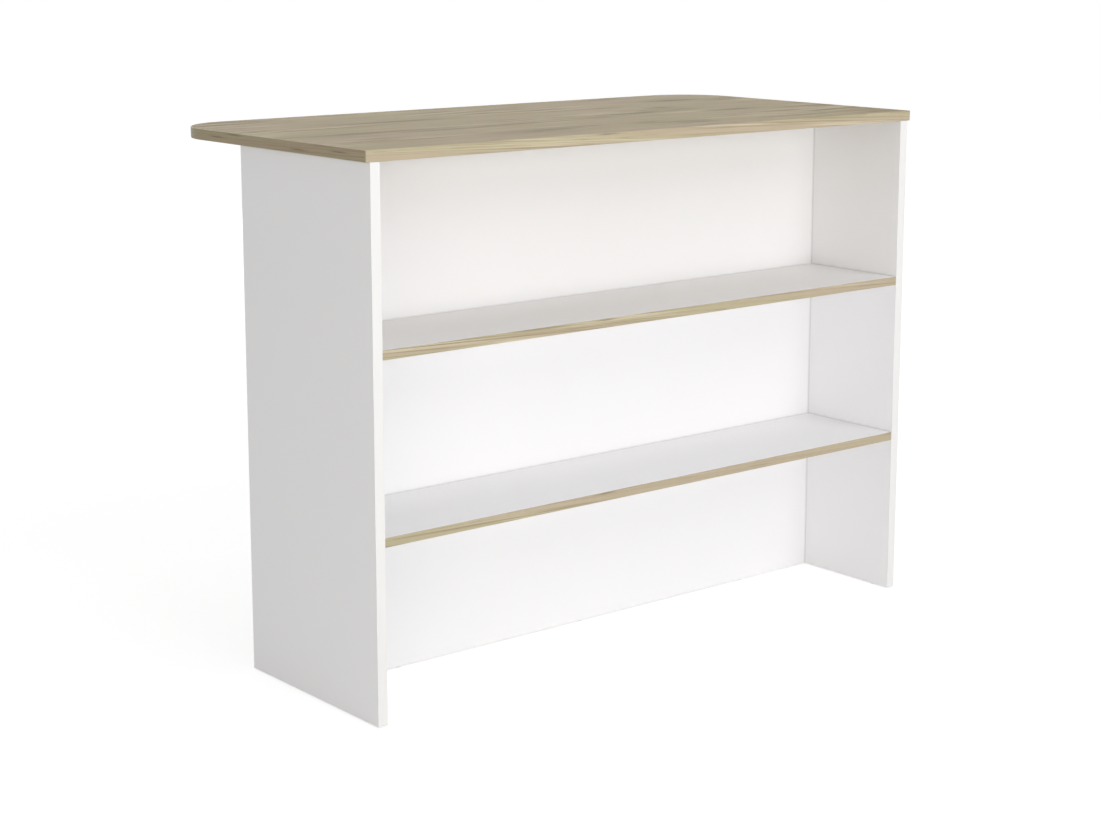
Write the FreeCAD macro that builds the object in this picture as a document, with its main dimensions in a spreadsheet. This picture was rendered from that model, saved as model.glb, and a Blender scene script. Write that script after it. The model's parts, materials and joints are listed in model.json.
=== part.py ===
import FreeCAD, Part

import math
import os

import Sketcher
from FreeCAD import Placement, Rotation, Vector

# Bar counter with two fixed shelves, a flat-pack carcass of melamine-faced board.
# Frame: origin on the floor under the middle of the worktop, +X along the counter,
# +Y from the staff side (front, open shelves) to the customer side (rear), +Z up.
# Every board is drawn in its own corner frame and placed in the counter's frame.

SIZES = {
    # the counter as a whole
    "counter_height": 900.0,
    "worktop_length": 1200.0,
    "worktop_depth": 590.0,
    "worktop_thickness": 18.0,
    "worktop_side_overhang": 7.0,
    "worktop_rear_radius": 110.0,
    # carcass boards
    "side_panel_thickness": 18.0,
    "side_panel_depth": 365.0,
    "back_panel_thickness": 15.0,
    "shelf_thickness": 15.0,
    "shelf_depth": 215.0,
    "upper_shelf_height": 596.0,
    "lower_shelf_height": 303.0,
    # edge bands glued on the boards' visible edges
    "worktop_band_thickness": 2.0,
    "worktop_band_round": 1.0,
    "carcass_band_thickness": 1.0,
    "carcass_band_round": 0.5,
    # places of the fittings
    "cam_setback": 24.0,
    "shelf_cam_inset": 45.0,
    "back_panel_low_cam": 148.0,
    "back_panel_high_cam": 738.0,
    "worktop_cam_inset": 50.0,
    "worktop_cam_spacing": 600.0,
    "worktop_front_dowel_inset": 50.0,
    "shelf_dowel_spacing": 380.0,
    "dowel_pitch": 32.0,
    # cam lock, a zinc drum that grips the ball head of the cam bolt
    "cam_diameter": 14.8,
    "cam_bore_diameter": 15.0,
    "cam_face_recess": 0.2,
    "cam_floor": 1.2,
    "cam_web": 1.2,
    "cam_bore_end_gap": 0.2,
    "cam_eccentricity": 1.5,
    "cam_grip_gap": 0.1,
    "cam_head_gap": 0.3,
    "cam_neck_gap": 0.2,
    "cam_entrance_gap": 0.2,
    "cam_drive_length": 6.4,
    "cam_drive_width": 1.7,
    "cam_mark_depth": 0.4,
    "cam_mark_length": 2.2,
    "cam_mark_inset": 1.0,
    # cam bolt
    "bolt_head_diameter": 6.8,
    "bolt_neck_diameter": 3.6,
    "bolt_shank_diameter": 6.0,
    "bolt_shank_gap": 0.5,
    "bolt_collar_diameter": 7.6,
    "bolt_collar_thickness": 1.0,
    "bolt_stem_diameter": 4.9,
    "bolt_stem_length": 11.0,
    "bolt_tip": 1.0,
    "bolt_stem_hole_diameter": 5.0,
    "bolt_stem_hole_depth": 12.0,
    "bolt_hole_diameter": 8.0,
    # wooden dowel
    "dowel_diameter": 7.9,
    "dowel_length": 30.0,
    "dowel_chamfer": 1.0,
    "dowel_hole_diameter": 8.0,
    "dowel_face_hole_depth": 10.0,
    "dowel_end_gap": 0.5,
    # glide, a plastic pad moulded on a nail
    "glide_diameter": 14.0,
    "glide_thickness": 2.0,
    "glide_chamfer": 0.4,
    "glide_panel_inset": 40.0,
    "glide_back_inset": 175.0,
    "nail_head_diameter": 5.0,
    "nail_head_thickness": 0.7,
    "nail_head_depth": 0.7,
    "nail_diameter": 1.8,
    "nail_length": 15.0,
    "nail_point": 2.0,
    "nail_hole_gap": 0.05,
}

doc = FreeCAD.newDocument("bar_counter")
sheet = doc.addObject("Spreadsheet::Sheet", "Sizes")
for row, (alias, value) in enumerate(SIZES.items(), start=1):
    sheet.set("A%d" % row, alias.replace("_", " "))
    sheet.set("B%d" % row, str(value))
    sheet.setAlias("B%d" % row, alias)
doc.recompute()

# Sizes that several pieces share, as expressions on the sheet's cells.
FRONT = "(-Sizes.worktop_depth / 2)"
INNER_LENGTH = ("(Sizes.worktop_length - 2 * Sizes.worktop_side_overhang"
                " - 2 * Sizes.side_panel_thickness)")
PANEL_HEIGHT = "(Sizes.counter_height - Sizes.worktop_thickness - Sizes.glide_thickness)"
UNDERSIDE = "(Sizes.counter_height - Sizes.worktop_thickness)"
BACK_MIDDLE = "(Sizes.shelf_depth + Sizes.back_panel_thickness / 2)"
SIDE_CAM_DEPTH = "(Sizes.side_panel_depth - Sizes.worktop_cam_inset)"
SIDE_DOWEL_DEPTH = "(%s - Sizes.dowel_pitch)" % SIDE_CAM_DEPTH
DOWEL_EDGE_DEPTH = ("(Sizes.dowel_length - Sizes.dowel_face_hole_depth"
                    " + 2 * Sizes.dowel_end_gap)")
HEAD_RADIUS = "(Sizes.bolt_head_diameter / 2)"
NECK_RADIUS = "(Sizes.bolt_neck_diameter / 2)"
CAM_RADIUS = "(Sizes.cam_diameter / 2)"
CAVITY_HALF = "(%s + Sizes.cam_head_gap)" % HEAD_RADIUS
TOP_DOWEL_SPACING = "(Sizes.worktop_cam_spacing / 2 + Sizes.dowel_pitch)"
NAIL_HOLE = "Sizes.nail_diameter + 2 * Sizes.nail_hole_gap"
NAIL_HOLE_DEPTH = "Sizes.nail_length + Sizes.nail_hole_gap"
NAIL_HEAD_TOP = "(Sizes.glide_thickness - Sizes.nail_head_depth)"
NAIL_HEAD_BOTTOM = "(%s - Sizes.nail_head_thickness)" % NAIL_HEAD_TOP

# Middles of the two shelves above the boards' bottom edges, and the places of the joints
# along the boards' edges.
SHELF_LINES = ["(Sizes.%s_shelf_height - Sizes.shelf_thickness / 2 - Sizes.glide_thickness)" % name
               for name in ("upper", "lower")]
SHELF_BOLT_DEPTHS = ["Sizes.shelf_cam_inset", "Sizes.shelf_depth - Sizes.shelf_cam_inset"]
SHELF_DOWEL_DEPTHS = ["Sizes.shelf_cam_inset + Sizes.dowel_pitch",
                      "Sizes.shelf_depth - Sizes.shelf_cam_inset - Sizes.dowel_pitch"]
BACK_BOLT_HEIGHTS = ["Sizes.back_panel_low_cam", "Sizes.back_panel_high_cam"]
BACK_DOWEL_HEIGHTS = ["Sizes.back_panel_low_cam + Sizes.dowel_pitch",
                      "Sizes.back_panel_high_cam - Sizes.dowel_pitch"]
GLIDE_DEPTHS = ["Sizes.glide_panel_inset", "Sizes.side_panel_depth - Sizes.glide_panel_inset"]
BACK_GLIDE_SPACING = "(%s / 2 - Sizes.glide_back_inset)" % INNER_LENGTH

X, Y, Z = Vector(1, 0, 0), Vector(0, 1, 0), Vector(0, 0, 1)
NEAR = 1e-6  # two lengths this close are the same


def number(expression):
    """The present value of an expression, to start a sketch near its solution."""
    value = sheet.evalExpression(expression)
    return float(getattr(value, "Value", value))


def sketch_on(body, role, offset="0"):
    """A sketch on one of the body's origin planes, moved along the plane's normal."""
    plane = next(f for f in body.Origin.OriginFeatures if f.Role == role)
    sketch = body.newObject("Sketcher::SketchObject", "Sketch")
    sketch.AttachmentSupport = [(plane, "")]
    sketch.MapMode = "FlatFace"
    sketch.setExpression("AttachmentOffset.Base.z", offset)
    return sketch


def locate(sketch, geometry, point, x, y):
    """Tie a point of the sketch to its two coordinates."""
    for kind, axis, expression in (("DistanceX", -2, x), ("DistanceY", -1, y)):
        if expression == "0":
            sketch.addConstraint(Sketcher.Constraint("PointOnObject", geometry, point, axis))
            continue
        place = Sketcher.Constraint(kind, -1, 1, geometry, point, number(expression))
        index = sketch.addConstraint(place)
        sketch.setExpression("Constraints[%d]" % index, expression)


def circles(sketch, centres, diameter):
    """Circles of one diameter at the given centres."""
    for x, y in centres:
        centre = Vector(number(x), number(y), 0)
        circle = sketch.addGeometry(Part.Circle(centre, Z, number(diameter) / 2))
        size = Sketcher.Constraint("Diameter", circle, number(diameter))
        sketch.setExpression("Constraints[%d]" % sketch.addConstraint(size), diameter)
        locate(sketch, circle, 3, x, y)


def outline(sketch, corners):
    """A closed outline. A corner is (x, y), or (x, y, radius, turn) where an arc leads to it;
    turn is 1 for an arc that runs anticlockwise and -1 for one that runs clockwise."""
    places = [Vector(number(c[0]), number(c[1]), 0) for c in corners]
    starts, ends, edges = [], [], []
    for i, corner in enumerate(corners):
        before, here = places[i - 1], places[i]
        if len(corner) == 2:
            edges.append(sketch.addGeometry(Part.LineSegment(before, here)))
            starts.append(1)
            ends.append(2)
            continue
        radius, turn = number(corner[2]), corner[3]
        chord = here - before
        rise = math.sqrt(radius ** 2 - (chord.Length / 2) ** 2)
        centre = (before + here) / 2 + Z.cross(chord).normalize() * rise * turn
        angles = [math.atan2(p.y - centre.y, p.x - centre.x) for p in (before, here)][::turn]
        arc = Part.ArcOfCircle(Part.Circle(centre, Z, radius), *angles)
        edges.append(sketch.addGeometry(arc))
        starts.append(1 if turn == 1 else 2)
        ends.append(2 if turn == 1 else 1)
        size = Sketcher.Constraint("Radius", edges[-1], radius)
        sketch.setExpression("Constraints[%d]" % sketch.addConstraint(size), corner[2])
    for i, corner in enumerate(corners):
        after = (i + 1) % len(corners)
        meet = Sketcher.Constraint("Coincident", edges[i], ends[i], edges[after], starts[after])
        sketch.addConstraint(meet)
        locate(sketch, edges[i], ends[i], corner[0], corner[1])


def rectangle(sketch, low, high):
    outline(sketch, [(low[0], low[1]), (high[0], low[1]), (high[0], high[1]), (low[0], high[1])])


def new_body(label):
    body = doc.addObject("PartDesign::Body", label)
    body.Label = label
    return body


def extrude(body, kind, sketch, length, reverse=False):
    """A Pad or Pocket of the sketch. A pad runs along the plane's normal and a pocket
    against it, and reverse turns either round."""
    feature = body.newObject("PartDesign::" + kind, kind)
    feature.Profile = sketch
    feature.setExpression("Length", length)
    feature.Reversed = reverse
    doc.recompute()
    return feature


def turn(body, kind, sketch, axis, angle="360 deg"):
    """A Revolution or Groove of the sketch about one of its own axes."""
    feature = body.newObject("PartDesign::" + kind, kind)
    feature.Profile = sketch
    feature.ReferenceAxis = (sketch, [axis])
    feature.setExpression("Angle", angle)
    doc.recompute()
    return feature


def drill(body, role, offset, centres, diameter, depth, reverse=False):
    """Flat-bottomed holes of one size and depth."""
    sketch = sketch_on(body, role, offset)
    circles(sketch, centres, diameter)
    return extrude(body, "Pocket", sketch, depth, reverse)


def place(piece, x, y, z, rotation=Rotation()):
    piece.Placement = Placement(Vector(), rotation)
    for name, expression in (("x", x), ("y", y), ("z", z)):
        piece.setExpression("Placement.Base." + name, expression)


def round_edges(body, radius, picked):
    """Round the body's edges for which picked(edge, its middle point) is true."""
    base = body.Tip
    names = ["Edge%d" % i for i, edge in enumerate(base.Shape.Edges, start=1)
             if picked(edge, edge.valueAt((edge.FirstParameter + edge.LastParameter) / 2))]
    fillet = body.newObject("PartDesign::Fillet", "Fillet")
    fillet.Base = (base, names)
    fillet.setExpression("Radius", radius)
    doc.recompute()


def box(body, low, high):
    """A pad from the corner low to the corner high, in the body's own frame."""
    sketch = sketch_on(body, "XY_Plane", low[2])
    rectangle(sketch, low[:2], high[:2])
    return extrude(body, "Pad", sketch, "%s - %s" % (high[2], low[2]))


# Worktop: an 18 mm oak-look board with square front corners and rounded rear corners.
# Its own frame starts at the front left corner of the underside.

def worktop_outline(sketch, inset):
    """The worktop in plan behind its front band, with its other edges moved in by inset."""
    band = "Sizes.worktop_band_thickness"
    left, right = inset, "Sizes.worktop_length - %s" % inset
    rear = "Sizes.worktop_depth - %s" % inset
    radius = "Sizes.worktop_rear_radius - %s" % inset
    bend_y = "Sizes.worktop_depth - Sizes.worktop_rear_radius"
    bend_x = "Sizes.worktop_length - Sizes.worktop_rear_radius"
    outline(sketch, [(left, band), (right, band), (right, bend_y), (bend_x, rear, radius, 1),
                     ("Sizes.worktop_rear_radius", rear), (left, bend_y, radius, 1)])


def mirrored_in(length, values):
    """Each value and its mirror image in the middle of the length."""
    return [expression for value in values for expression in (value, "%s - %s" % (length, value))]


def spread(middle, spacing):
    """Three places in a row."""
    return ["%s - %s" % (middle, spacing), middle, "%s + %s" % (middle, spacing)]


def worktop_board():
    body = new_body("worktop")
    sketch = sketch_on(body, "XY_Plane")
    worktop_outline(sketch, "Sizes.worktop_band_thickness")
    extrude(body, "Pad", sketch, "Sizes.worktop_thickness")
    side_middle = "Sizes.worktop_side_overhang + Sizes.side_panel_thickness / 2"
    sides = mirrored_in("Sizes.worktop_length", ["(%s)" % side_middle])
    middle = "Sizes.worktop_length / 2"
    stems = [(x, SIDE_CAM_DEPTH) for x in sides]
    stems += [(x, BACK_MIDDLE) for x in mirrored_in("Sizes.worktop_length", [
        "(%s - Sizes.worktop_cam_spacing / 2)" % middle])]
    drill(body, "XY_Plane", "0", stems, "Sizes.bolt_stem_hole_diameter",
          "Sizes.bolt_stem_hole_depth", reverse=True)
    dowels = [(x, y) for x in sides for y in ("Sizes.worktop_front_dowel_inset", SIDE_DOWEL_DEPTH)]
    dowels += [(x, BACK_MIDDLE) for x in spread(middle, TOP_DOWEL_SPACING)]
    drill(body, "XY_Plane", "0", dowels, "Sizes.dowel_hole_diameter",
          "Sizes.dowel_face_hole_depth", reverse=True)
    return body


def worktop_rim_band():
    """One strip glued round the left edge, the rear and the right edge."""
    body = new_body("worktop_rim_band")
    sketch = sketch_on(body, "XY_Plane")
    worktop_outline(sketch, "0")
    extrude(body, "Pad", sketch, "Sizes.worktop_thickness")
    inner = sketch_on(body, "XY_Plane", "Sizes.worktop_thickness")
    worktop_outline(inner, "Sizes.worktop_band_thickness")
    extrude(body, "Pocket", inner, "Sizes.worktop_thickness")
    length, depth = number("Sizes.worktop_length"), number("Sizes.worktop_depth")
    radius = number("Sizes.worktop_rear_radius")

    def along_outside(edge, middle):
        straight = min(middle.x, length - middle.x, depth - middle.y) < NEAR
        bent = isinstance(edge.Curve, Part.Circle) and abs(edge.Curve.Radius - radius) < NEAR
        return edge.BoundBox.ZLength < NEAR and (straight or bent)

    round_edges(body, "Sizes.worktop_band_round", along_outside)
    return body


def strip(label, low, high, outer, radius):
    """A straight edge band from corner to corner, rounded round its outer face at y = outer."""
    body = new_body(label)
    box(body, low, high)
    outer_y = number(outer)
    round_edges(body, radius, lambda edge, middle: abs(edge.BoundBox.YMin - outer_y) < NEAR
                and abs(edge.BoundBox.YMax - outer_y) < NEAR)
    return body


# Side panels: 18 mm white board. Their own frame starts at the front bottom corner of the
# face at the lower x: the outer face of the left panel, the inner face of the right one.

def cam_bore_depth(thickness):
    """Depth of the bore for a cam lock whose bolt runs in the middle of the board."""
    return "%s / 2 + %s + Sizes.cam_floor + Sizes.cam_bore_end_gap" % (thickness, CAVITY_HALF)


def side_panel(side):
    body = new_body("%s_side_panel" % side)
    thickness, band = "Sizes.side_panel_thickness", "Sizes.carcass_band_thickness"
    box(body, ("0", band, "0"), (thickness, "Sizes.side_panel_depth - %s" % band, PANEL_HEIGHT))
    inner = thickness if side == "left" else "0"
    from_low_face = side == "right"
    stems = [(y, z) for y in SHELF_BOLT_DEPTHS for z in SHELF_LINES]
    stems += [(BACK_MIDDLE, z) for z in BACK_BOLT_HEIGHTS]
    drill(body, "YZ_Plane", inner, stems, "Sizes.bolt_stem_hole_diameter",
          "Sizes.bolt_stem_hole_depth", from_low_face)
    dowels = [(y, z) for y in SHELF_DOWEL_DEPTHS for z in SHELF_LINES]
    dowels += [(BACK_MIDDLE, z) for z in BACK_DOWEL_HEIGHTS]
    drill(body, "YZ_Plane", inner, dowels, "Sizes.dowel_hole_diameter",
          "Sizes.dowel_face_hole_depth", from_low_face)
    cam = [(SIDE_CAM_DEPTH, "%s - Sizes.cam_setback" % PANEL_HEIGHT)]
    drill(body, "YZ_Plane", inner, cam, "Sizes.cam_bore_diameter", cam_bore_depth(thickness),
          from_low_face)
    middle = "%s / 2" % thickness
    drill(body, "XY_Plane", PANEL_HEIGHT, [(middle, SIDE_CAM_DEPTH)], "Sizes.bolt_hole_diameter",
          "Sizes.cam_setback")
    top_dowels = [(middle, y) for y in ("Sizes.worktop_front_dowel_inset", SIDE_DOWEL_DEPTH)]
    drill(body, "XY_Plane", PANEL_HEIGHT, top_dowels, "Sizes.dowel_hole_diameter",
          DOWEL_EDGE_DEPTH)
    drill(body, "XY_Plane", "0", [(middle, y) for y in GLIDE_DEPTHS], NAIL_HOLE, NAIL_HOLE_DEPTH,
          reverse=True)
    return body


# Back panel: 15 mm white board between the side panels, behind the shelves, down to the glides.
# Its own frame starts at the left bottom corner of its front face.

def back_panel():
    body = new_body("back_panel")
    thickness = "Sizes.back_panel_thickness"
    box(body, ("0", "0", "0"), (INNER_LENGTH, thickness, PANEL_HEIGHT))
    middle, half = "%s / 2" % thickness, "%s / 2" % INNER_LENGTH
    for end, from_low_face in (("0", True), (INNER_LENGTH, False)):
        drill(body, "YZ_Plane", end, [(middle, z) for z in BACK_BOLT_HEIGHTS],
              "Sizes.bolt_hole_diameter", "Sizes.cam_setback", from_low_face)
        drill(body, "YZ_Plane", end, [(middle, z) for z in BACK_DOWEL_HEIGHTS],
              "Sizes.dowel_hole_diameter", DOWEL_EDGE_DEPTH, from_low_face)
    top_cams = mirrored_in(INNER_LENGTH, ["(%s - Sizes.worktop_cam_spacing / 2)" % half])
    drill(body, "XY_Plane", PANEL_HEIGHT, [(x, middle) for x in top_cams],
          "Sizes.bolt_hole_diameter", "Sizes.cam_setback")
    drill(body, "XY_Plane", PANEL_HEIGHT, [(x, middle) for x in spread(half, TOP_DOWEL_SPACING)],
          "Sizes.dowel_hole_diameter", DOWEL_EDGE_DEPTH)
    cams = [(x, z) for x in mirrored_in(INNER_LENGTH, ["Sizes.cam_setback"])
            for z in BACK_BOLT_HEIGHTS]
    cams += [(x, "%s - Sizes.cam_setback" % PANEL_HEIGHT) for x in top_cams]
    drill(body, "XZ_Plane", "-%s" % thickness, cams, "Sizes.cam_bore_diameter",
          cam_bore_depth(thickness), reverse=True)
    shelves = [(x, z) for x in spread(half, "Sizes.shelf_dowel_spacing") for z in SHELF_LINES]
    drill(body, "XZ_Plane", "0", shelves, "Sizes.dowel_hole_diameter",
          "Sizes.dowel_face_hole_depth")
    glides = [(x, middle) for x in spread(half, BACK_GLIDE_SPACING)]
    drill(body, "XY_Plane", "0", glides, NAIL_HOLE, NAIL_HOLE_DEPTH, reverse=True)
    return body


# Shelves: 15 mm white board. Their own frame starts at the front left corner of the underside.

def shelf(name):
    body = new_body(name)
    thickness, band = "Sizes.shelf_thickness", "Sizes.carcass_band_thickness"
    box(body, ("0", band, "0"), (INNER_LENGTH, "Sizes.shelf_depth", thickness))
    middle = "%s / 2" % thickness
    cams = [(x, y) for x in mirrored_in(INNER_LENGTH, ["Sizes.cam_setback"])
            for y in SHELF_BOLT_DEPTHS]
    drill(body, "XY_Plane", "0", cams, "Sizes.cam_bore_diameter", cam_bore_depth(thickness),
          reverse=True)
    for end, from_low_face in (("0", True), (INNER_LENGTH, False)):
        drill(body, "YZ_Plane", end, [(y, middle) for y in SHELF_BOLT_DEPTHS],
              "Sizes.bolt_hole_diameter", "Sizes.cam_setback", from_low_face)
        drill(body, "YZ_Plane", end, [(y, middle) for y in SHELF_DOWEL_DEPTHS],
              "Sizes.dowel_hole_diameter", DOWEL_EDGE_DEPTH, from_low_face)
    rear = [(x, middle) for x in spread("%s / 2" % INNER_LENGTH, "Sizes.shelf_dowel_spacing")]
    drill(body, "XZ_Plane", "-Sizes.shelf_depth", rear, "Sizes.dowel_hole_diameter",
          DOWEL_EDGE_DEPTH, reverse=True)
    return body


# Cam lock, drawn in the board's face: +Z out of the face, z = 0 on the face, and the bolt
# comes in along +X at the middle of the board. Locked, the thick side of the drum holds the
# bolt's ball head; half a turn later the round entrance faces the bolt and lets it out.

def cam_lock(label, thickness):
    body = new_body(label)
    axis_level = "-%s / 2" % thickness
    bottom = "%s / 2 + %s + Sizes.cam_floor" % (thickness, CAVITY_HALF)
    drum = sketch_on(body, "XY_Plane", "-(%s)" % bottom)
    circles(drum, [("0", "0")], "Sizes.cam_diameter")
    extrude(body, "Pad", drum, "%s - Sizes.cam_face_recess" % bottom)

    # the bolt's neck passes the slot, and the slot's lips hold the ball behind it
    slot_half = "(%s + Sizes.cam_neck_gap)" % NECK_RADIUS
    grip = "(sqrt(%s ^ 2 - %s ^ 2) + Sizes.cam_grip_gap)" % (HEAD_RADIUS, slot_half)
    chamber_radius = "(%s + Sizes.cam_eccentricity)" % grip
    drill(body, "XY_Plane", "%s + %s" % (axis_level, CAVITY_HALF),
          [("-Sizes.cam_eccentricity", "0")], "2 * %s" % chamber_radius, "2 * %s" % CAVITY_HALF)

    entrance = "2 * (%s + Sizes.cam_entrance_gap)" % HEAD_RADIUS
    drill(body, "YZ_Plane", "0", [("0", axis_level)], entrance, "Sizes.cam_diameter")

    # the slot runs from the entrance half a turn round to the grip, and on until the chamber's
    # wall stands clear of the whole ball
    slot = sketch_on(body, "XZ_Plane")
    rectangle(slot, ("-Sizes.cam_diameter", "%s - %s" % (axis_level, slot_half)),
              ("0", "%s + %s" % (axis_level, slot_half)))
    clear = "(%s + Sizes.cam_head_gap)" % HEAD_RADIUS
    past_grip = ("acos((%s ^ 2 - %s ^ 2 - Sizes.cam_eccentricity ^ 2)"
                 " / (2 * %s * Sizes.cam_eccentricity))" % (chamber_radius, clear, clear))
    turn(body, "Groove", slot, "V_Axis", "180 deg + " + past_grip)

    recess = sketch_on(body, "XY_Plane", "-Sizes.cam_face_recess")
    half_length, half_width = "Sizes.cam_drive_length / 2", "Sizes.cam_drive_width / 2"
    rectangle(recess, ("-" + half_length, "-" + half_width), (half_length, half_width))
    drive_depth = "%s / 2 - %s - Sizes.cam_web - Sizes.cam_face_recess" % (thickness, CAVITY_HALF)
    wing = extrude(body, "Pocket", recess, drive_depth)
    cross = body.newObject("PartDesign::PolarPattern", "Cross")
    cross.Originals = [wing]
    cross.Axis = (recess, ["N_Axis"])
    cross.Angle = 90
    cross.Occurrences = 2
    body.Tip = cross
    doc.recompute()

    mark = sketch_on(body, "XY_Plane", "-Sizes.cam_face_recess")
    tip = "(Sizes.cam_mark_inset - %s)" % CAM_RADIUS
    tail = "%s + Sizes.cam_mark_length" % tip
    outline(mark, [(tip, "0"), (tail, "-Sizes.cam_mark_length / 2"),
                   (tail, "Sizes.cam_mark_length / 2")])
    extrude(body, "Pocket", mark, "Sizes.cam_mark_depth")
    return body


# Cam bolt: zinc-plated steel, turned. Its axis is +X, with x = 0 at the joint between the two
# boards: the stem screws into the face of one, the ball head reaches the cam lock in the other.

def cam_bolt():
    body = new_body("cam_bolt")
    stem, collar = "Sizes.bolt_stem_diameter / 2", "Sizes.bolt_collar_diameter / 2"
    shank, head_x = "Sizes.bolt_shank_diameter / 2", "Sizes.cam_setback"
    end = "-Sizes.bolt_stem_length"
    shoulder = "%s - %s - Sizes.bolt_shank_gap" % (head_x, CAM_RADIUS)
    neck_end = "%s - sqrt(%s ^ 2 - %s ^ 2)" % (head_x, HEAD_RADIUS, NECK_RADIUS)
    sketch = sketch_on(body, "XZ_Plane")
    outline(sketch, [
        (end, "0"), (end, "%s - Sizes.bolt_tip" % stem), ("%s + Sizes.bolt_tip" % end, stem),
        ("0", stem), ("0", collar), ("Sizes.bolt_collar_thickness", collar),
        ("Sizes.bolt_collar_thickness", shank), (shoulder, shank), (shoulder, NECK_RADIUS),
        (neck_end, NECK_RADIUS), ("%s + %s" % (head_x, HEAD_RADIUS), "0", HEAD_RADIUS, -1)])
    turn(body, "Revolution", sketch, "H_Axis")
    return body


# Dowel: beech, chamfered at both ends. Its axis is +X, with x = 0 at the joint.

def dowel():
    body = new_body("dowel")
    start = "(Sizes.dowel_end_gap - Sizes.dowel_face_hole_depth)"
    end = "(%s + Sizes.dowel_length)" % start
    radius, chamfer = "Sizes.dowel_diameter / 2", "Sizes.dowel_chamfer"
    sketch = sketch_on(body, "XZ_Plane")
    outline(sketch, [(start, "0"), (start, "%s - %s" % (radius, chamfer)),
                     ("%s + %s" % (start, chamfer), radius), ("%s - %s" % (end, chamfer), radius),
                     (end, "%s - %s" % (radius, chamfer)), (end, "0")])
    turn(body, "Revolution", sketch, "H_Axis")
    return body


# Glide: a pad that the counter stands on, moulded round the head of a nail. Both are drawn
# with z = 0 on the floor.

def glide():
    body = new_body("glide")
    radius, chamfer = "Sizes.glide_diameter / 2", "Sizes.glide_chamfer"
    nail, head = "Sizes.nail_diameter / 2", "Sizes.nail_head_diameter / 2"
    sketch = sketch_on(body, "XZ_Plane")
    outline(sketch, [
        ("0", "0"), ("%s - %s" % (radius, chamfer), "0"), (radius, chamfer),
        (radius, "Sizes.glide_thickness"), (nail, "Sizes.glide_thickness"),
        (nail, NAIL_HEAD_TOP), (head, NAIL_HEAD_TOP), (head, NAIL_HEAD_BOTTOM),
        ("0", NAIL_HEAD_BOTTOM)])
    turn(body, "Revolution", sketch, "V_Axis")
    return body


def glide_nail():
    body = new_body("glide_nail")
    nail, head = "Sizes.nail_diameter / 2", "Sizes.nail_head_diameter / 2"
    tip = "Sizes.glide_thickness + Sizes.nail_length"
    sketch = sketch_on(body, "XZ_Plane")
    outline(sketch, [
        ("0", NAIL_HEAD_BOTTOM), (head, NAIL_HEAD_BOTTOM), (head, NAIL_HEAD_TOP),
        (nail, NAIL_HEAD_TOP), (nail, "%s - Sizes.nail_point" % tip), ("0", tip)])
    turn(body, "Revolution", sketch, "V_Axis")
    return body


# The boards and their bands, placed in the counter's frame.

nodes = []


def board(body, x, y, z):
    place(body, x, y, z)
    nodes.append(body)


LEFT_FACE = "(-%s / 2)" % INNER_LENGTH
RIGHT_FACE = "(%s / 2)" % INNER_LENGTH
LEFT_TIP = "(-Sizes.worktop_length / 2)"
LEFT_OUTSIDE = "(%s - Sizes.side_panel_thickness)" % LEFT_FACE

worktop_corner = (LEFT_TIP, FRONT, UNDERSIDE)
board(worktop_board(), *worktop_corner)
board(worktop_rim_band(), *worktop_corner)
board(strip("worktop_front_band", ("0", "0", "0"),
            ("Sizes.worktop_length", "Sizes.worktop_band_thickness", "Sizes.worktop_thickness"),
            "0", "Sizes.worktop_band_round"), *worktop_corner)

for side, face in (("left", LEFT_OUTSIDE), ("right", RIGHT_FACE)):
    panel_corner = (face, FRONT, "Sizes.glide_thickness")
    board(side_panel(side), *panel_corner)
    depth, band = "Sizes.side_panel_depth", "Sizes.carcass_band_thickness"
    for end, low, high, outer in (("front", "0", band, "0"),
                                  ("rear", "%s - %s" % (depth, band), depth, depth)):
        board(strip("%s_panel_%s_band" % (side, end), ("0", low, "0"),
                    ("Sizes.side_panel_thickness", high, PANEL_HEIGHT), outer,
                    "Sizes.carcass_band_round"), *panel_corner)

board(back_panel(), LEFT_FACE, "%s + Sizes.shelf_depth" % FRONT, "Sizes.glide_thickness")

for name in ("upper_shelf", "lower_shelf"):
    underside = "Sizes.%s_height - Sizes.shelf_thickness" % name
    board(shelf(name), LEFT_FACE, FRONT, underside)
    board(strip("%s_front_band" % name, ("0", "0", "0"),
                (INNER_LENGTH, "Sizes.carcass_band_thickness", "Sizes.shelf_thickness"),
                "0", "Sizes.carcass_band_round"), LEFT_FACE, FRONT, underside)

# The fittings are copies of one bolt, one dowel, one glide, one nail and a cam lock for each
# board, linked to where two boards meet. A joint is a point in the plane between the boards,
# on the fitting's axis, and the direction into the board that is held at its edge.

bolt_model, dowel_model = cam_bolt(), dowel()
glide_model, nail_model = glide(), glide_nail()
cam_models = {thickness: cam_lock("cam_lock_in_" + board_name, thickness)
              for board_name, thickness in (("shelf", "Sizes.shelf_thickness"),
                                            ("back_panel", "Sizes.back_panel_thickness"),
                                            ("side_panel", "Sizes.side_panel_thickness"))}


def moved(point, direction, length):
    """The point moved by a length along an axis of the counter."""
    steps = (direction.x, direction.y, direction.z)
    return [at if step == 0 else "%s %s (%s)" % (at, "+" if step > 0 else "-", length)
            for at, step in zip(point, steps)]


def copy_of(model, label, point, rotation=Rotation()):
    link = doc.addObject("App::Link", label)
    link.LinkedObject = model
    link.Label = label
    place(link, *point, rotation)
    return link


def pointing(direction):
    """The turn that points a bolt or a dowel along the direction."""
    return Rotation(X, direction)


def group(label, links):
    compound = doc.addObject("Part::Compound", label)
    compound.Label = label
    compound.Links = links
    nodes.append(compound)


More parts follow.
